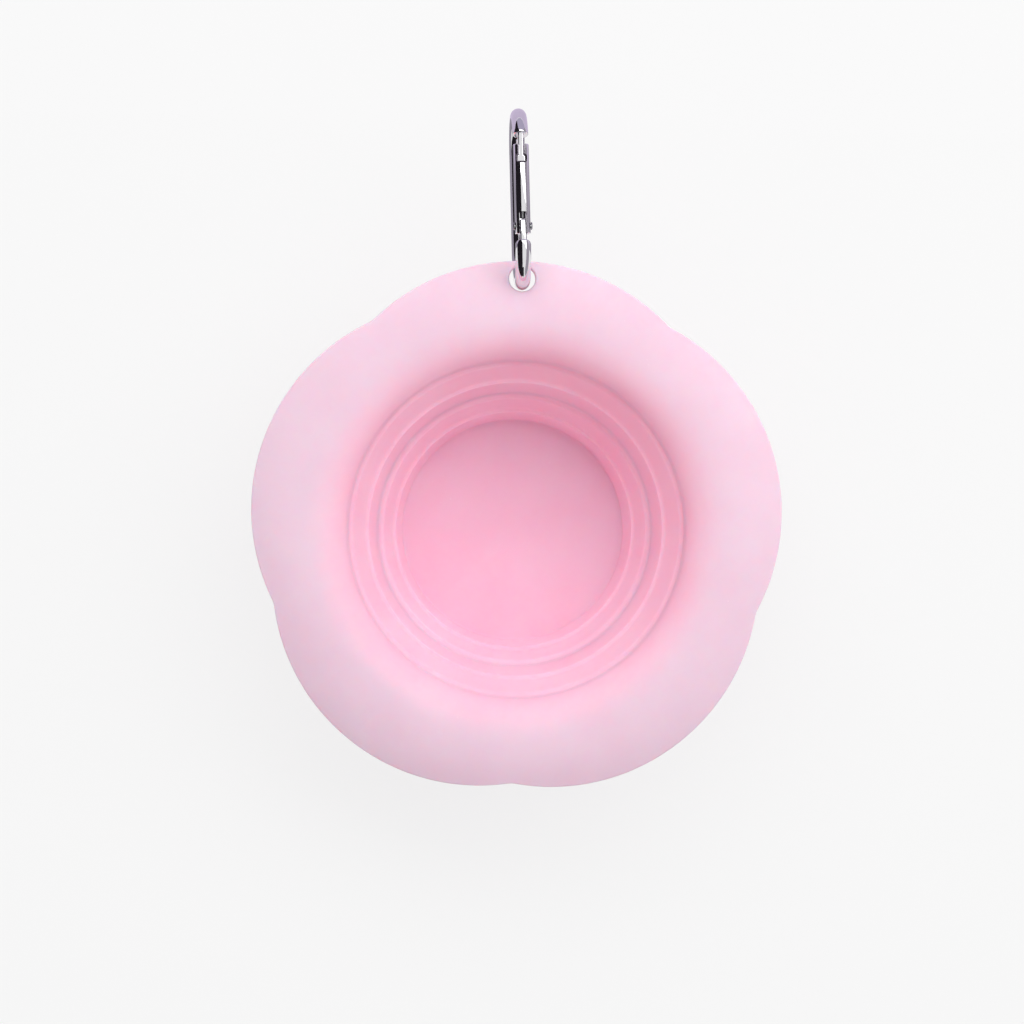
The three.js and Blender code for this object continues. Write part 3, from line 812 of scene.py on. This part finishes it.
plunger = section([
    (0, plunger_foot),
    (PLUNGER_NOSE, plunger_foot, PLUNGER_TIP),
    (PLUNGER_NOSE, flange_bottom),
    (FLANGE_RADIUS, flange_bottom, FLANGE_EDGE),
    (FLANGE_RADIUS, flange_top, FLANGE_EDGE),
    (0, flange_top),
], closed=False)
plunger = laid_along(spun(plunger, PIN_SIDES))
as_hook_piece("hook_plunger", plunger, steel, "plunger", "spring_plunger")

# %% [markdown]
# The spring is wire wound on a mandrel. A spin with a step along its axis winds a small circle into a coil in
# the same way. Its lower end follows the plunger and its upper end stays in the gate, so it is blended from
# one to the other and closes up as the gate opens.

# %% Spring
WIRE_RADIUS, COIL_RADIUS, COILS, COIL_STEPS, WIRE_SIDES = 0.175, 0.825, 8, 28, 10
spring_low = flange_top + PLUNGER_GAP + WIRE_RADIUS
spring_high = bore_end - PLUNGER_GAP - WIRE_RADIUS
steps = COILS * COIL_STEPS

coil = bmesh.new()
bmesh.ops.create_circle(coil, segments=WIRE_SIDES, radius=WIRE_RADIUS)
bmesh.ops.translate(coil, vec=(COIL_RADIUS, spring_low, bend), verts=coil.verts)
start_loop = coil.edges[:]
wound = bmesh.ops.spin(coil, geom=coil.verts[:] + coil.edges[:], cent=(0, 0, bend), axis=(0, 1, 0),
                       dvec=(0, (spring_high - spring_low) / steps, 0), angle=2 * pi * COILS, steps=steps)
for loop in (start_loop, edges_in(wound["geom_last"])):
    bmesh.ops.contextual_create(coil, geom=loop)
hook_spring = as_hook_piece("hook_spring", coil, steel, None, "gate_spring")
spring_ends = [hook_place @ Vector((0, level, bend)) * MM for level in (spring_low, spring_high)]
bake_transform(hook_spring, "plunger", "gate", start=spring_ends[0], end=spring_ends[1])

# %% [markdown]
# The stage is a plain pale floor under a soft room. The world lights everything evenly, with a little more
# from overhead. Rays from the camera and in reflections see a pale backdrop instead of the lighting level,
# and the floor shows them mostly the same backdrop, so that only a soft shadow is left on it.

# %% Floor and world
AMBIENT, OVERHEAD, OVERHEAD_FROM, OVERHEAD_TO = 0.59, 0.80, 0.64, 0.98
BACKDROP, FLOOR_WHITE, FLOOR_GLOW = 0.92, 0.92, 0.84
FLOOR_ROUGHNESS, FLOOR_SIZE, FLOOR_LEVEL = 0.9, 6, -0.0001
SEEN_RAYS = ("Is Camera Ray", "Is Glossy Ray", "Is Transmission Ray")


def seen_directly(start):
    from_camera, reflected, passing = [start.node("ShaderNodeLightPath", output=ray) for ray in SEEN_RAYS]
    return (from_camera + reflected + passing).least(1.0)


world = bpy.data.worlds.new("soft_room")
bpy.context.scene.world = world
world.use_nodes = True
start = Socket(world.node_tree)
backdrop = world.node_tree.nodes["Background"]
backdrop.inputs["Color"].default_value = (1, 1, 1, 1)
facing = start.node("ShaderNodeTexCoord", output="Generated")
upward = start.node("ShaderNodeSeparateXYZ", None, {0: facing}, output="Z")
room = AMBIENT - upward.band(OVERHEAD_FROM, OVERHEAD_TO) * (AMBIENT - OVERHEAD)
seen = seen_directly(start)
feed(backdrop, Strength=room * (1 - seen) + seen * BACKDROP)

floor_paint, floor_shader, start = new_material("pale_floor")
floor_shader.inputs["Base Color"].default_value = (FLOOR_WHITE, FLOOR_WHITE, FLOOR_WHITE, 1)
floor_shader.inputs["Roughness"].default_value = FLOOR_ROUGHNESS
pale = glow(start, (BACKDROP, BACKDROP, BACKDROP))
matt = Socket(floor_paint.node_tree, floor_shader.outputs[0])
mixed = start.node("ShaderNodeMixShader", None, {0: seen_directly(start) * FLOOR_GLOW, 1: matt, 2: pale})
feed(floor_paint.node_tree.nodes["Material Output"], Surface=mixed)

ground = bmesh.new()
bmesh.ops.create_grid(ground, x_segments=1, y_segments=1, size=FLOOR_SIZE)
bmesh.ops.translate(ground, vec=(0, 0, FLOOR_LEVEL), verts=ground.verts)
floor = as_object("floor", ground, floor_paint)
print("floor and world ready")

# %% [markdown]
# One wide lamp stands for the softbox of a product photograph. It is aimed at the bowl from beyond the hook
# and a little to the right, about halfway up. So the wall of the cup on the lamp's side lies in shade, and
# the wall across from it lights up.

# %% Softbox
KEY_TURN, KEY_RISE, KEY_DISTANCE = radians(68), radians(52), 1.0
KEY_WIDTH, KEY_TALL, KEY_POWER, KEY_AIM = 2.2, 0.7, 10.6, Vector((0, 0, 0.03))

key = bpy.data.lights.new("softbox", "AREA")
key.shape, key.size, key.size_y, key.energy = "RECTANGLE", KEY_WIDTH, KEY_TALL, KEY_POWER
softbox = bpy.data.objects.new("softbox", key)
towards = Vector((cos(KEY_RISE) * cos(KEY_TURN), cos(KEY_RISE) * sin(KEY_TURN), sin(KEY_RISE)))
softbox.location = KEY_AIM + towards * KEY_DISTANCE
softbox.rotation_euler = (-towards).to_track_quat("-Z", "Y").to_euler()
bpy.context.scene.collection.objects.link(softbox)
print("softbox at", [round(value, 2) for value in softbox.location])

# %% [markdown]
# Polished metal shows whatever stands round it, so photographers set plain cards beside it. Here a dark one
# stands on the left, a grey one on the right, a cool one beyond the hook and a dark one on the near side, and
# two lie on the floor. Only reflections see them. Each row gives a card's name and colour, the axis it is
# turned up about, its middle and its two sides in metres.

# %% Cards
CARDS = (
    ("dark_card", (0.015, 0.012, 0.016), "Y", (-0.25, 0, 0.62), (1.2, 2.4)),
    ("grey_card", (0.36, 0.33, 0.38), "Y", (0.5, 0, 0.28), (0.5, 2.4)),
    ("cool_card", (0.46, 0.42, 0.56), "X", (0, 0.55, 0.33), (1.4, 0.62)),
    ("far_floor_card", (0.64, 0.55, 0.73), None, (0, 0.36, 0.0005), (1.0, 0.48)),
    ("side_floor_card", (0.34, 0.31, 0.37), None, (0, 0.10, 0.0005), (1.0, 0.04)),
    ("near_card", (0.03, 0.025, 0.03), "X", (-0.25, -0.6, 0.27), (0.7, 0.4)),
)

for name, colour, stood_on, middle, sides in CARDS:
    paper, _, start = new_material(name)
    feed(paper.node_tree.nodes["Material Output"], Surface=glow(start, colour))
    bm = bmesh.new()
    bmesh.ops.create_grid(bm, x_segments=1, y_segments=1, size=0.5)
    bmesh.ops.scale(bm, vec=(*sides, 1), verts=bm.verts)
    if stood_on:
        bmesh.ops.rotate(bm, matrix=Matrix.Rotation(pi / 2, 3, stood_on), verts=bm.verts)
    bmesh.ops.translate(bm, vec=middle, verts=bm.verts)
    sheet = as_object(name, bm, paper)
    sheet.visible_camera = sheet.visible_diffuse = sheet.visible_shadow = sheet.visible_transmission = False
print("cards:", len(CARDS))

# %% [markdown]
# The photograph looks down the bowl's axis. The camera does the same from a good distance with a long lens.
# As in the photograph, it leans by less than two degrees, is set a little off the axis and is rolled by a
# little over one degree.

# %% Camera
VIEW_DISTANCE, VIEW_LEVEL, VIEW_FIELD, SENSOR = 0.900, 0.045, 0.2887, 36.0
NEAREST, FARTHEST = 0.05, 20
AIM = Vector((-0.00130, 0.00429, VIEW_LEVEL))
LEAN, ROLL = (radians(-1.65), radians(-0.5)), radians(1.2)

lens = bpy.data.cameras.new("camera")
lens.sensor_width, lens.lens = SENSOR, SENSOR * VIEW_DISTANCE / VIEW_FIELD
lens.clip_start, lens.clip_end = NEAREST, FARTHEST
camera = bpy.data.objects.new("camera", lens)
from_aim = Vector((sin(LEAN[0]), sin(LEAN[1]), cos(LEAN[0]))).normalized()
camera.location = AIM + from_aim * VIEW_DISTANCE
camera.rotation_euler = (-LEAN[1], LEAN[0], ROLL)
bpy.context.scene.collection.objects.link(camera)
bpy.context.scene.camera = camera
bpy.context.scene.view_settings.view_transform = "Standard"
print("lens:", round(lens.lens, 1), "mm")
